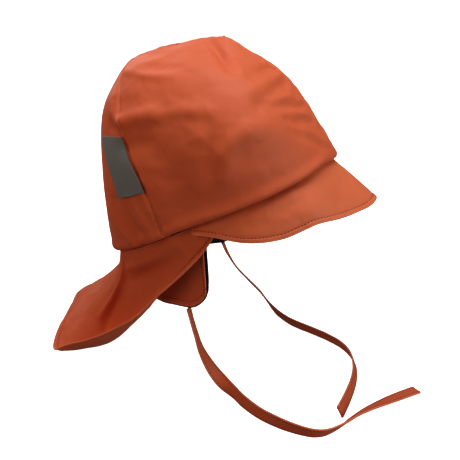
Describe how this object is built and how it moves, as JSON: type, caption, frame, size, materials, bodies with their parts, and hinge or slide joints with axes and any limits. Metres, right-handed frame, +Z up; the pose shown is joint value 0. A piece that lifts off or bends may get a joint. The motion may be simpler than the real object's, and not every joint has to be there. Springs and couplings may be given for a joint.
{
  "type": "rain hat",
  "caption": "Child's rain hat in coated cloth with a deep panelled crown, a stitched peak, a long neck flap, ear flaps and flat tie straps, shown as worn.",
  "frame": {"origin": "middle of the head opening, where a head holds the hat", "axes": "+Z up as worn on an upright head, -Y forwards (the peak's way), -X towards the wearer's right"},
  "size_m": [0.1958, 0.3327, 0.2813],
  "materials": {
    "coated_cloth": "coral, matt polyurethane coating with a soft sheen",
    "lining_cloth": "black soft knit",
    "woven_label": "grey woven tape, bare"
  },
  "bodies": {
    "root": {"crown_right_panel": "coated_cloth", "crown_left_panel": "coated_cloth", "crown_back_panel": "coated_cloth", "peak": "coated_cloth", "neck_flap": "coated_cloth", "ear_flap_right": "coated_cloth", "ear_flap_left": "coated_cloth", "ear_flap_lining_right": "lining_cloth", "ear_flap_lining_left": "lining_cloth", "tie_right": "coated_cloth", "tie_left": "coated_cloth", "label": "woven_label"}
  },
  "joints": []
}
